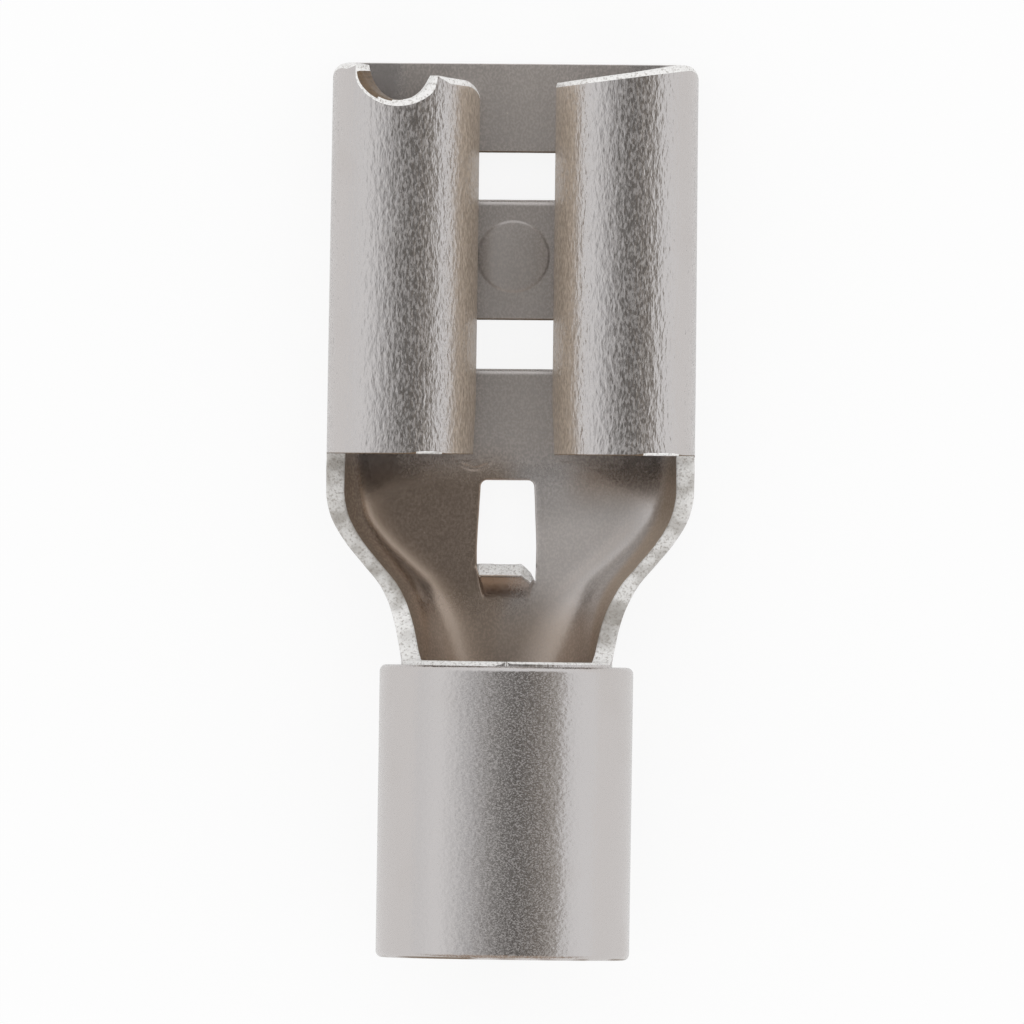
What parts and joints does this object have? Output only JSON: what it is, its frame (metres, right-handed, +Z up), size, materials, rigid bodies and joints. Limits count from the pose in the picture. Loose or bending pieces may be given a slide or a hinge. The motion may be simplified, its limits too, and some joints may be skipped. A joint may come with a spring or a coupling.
{
  "type": "female spade terminal",
  "caption": "Push-on spade receptacle with curled sides and a locking dimple, open neck with a wire stop, and a round wire barrel in a crimp sleeve.",
  "frame": {"origin": "on the wire barrel's axis, in the plane of its wire end", "axes": "+Y along the barrel towards the receptacle's mouth, +Z up from the floor towards the curls, +X to the right seen from above with the mouth away"},
  "size_m": [0.0078, 0.019, 0.0054],
  "materials": {
    "tinned_sheet": "matt tin plating over brass sheet",
    "tinned_tube": "satin tin plating over a drawn tube"
  },
  "bodies": {
    "root": {"terminal_body": "tinned_sheet", "crimp_sleeve": "tinned_tube"}
  },
  "joints": []
}
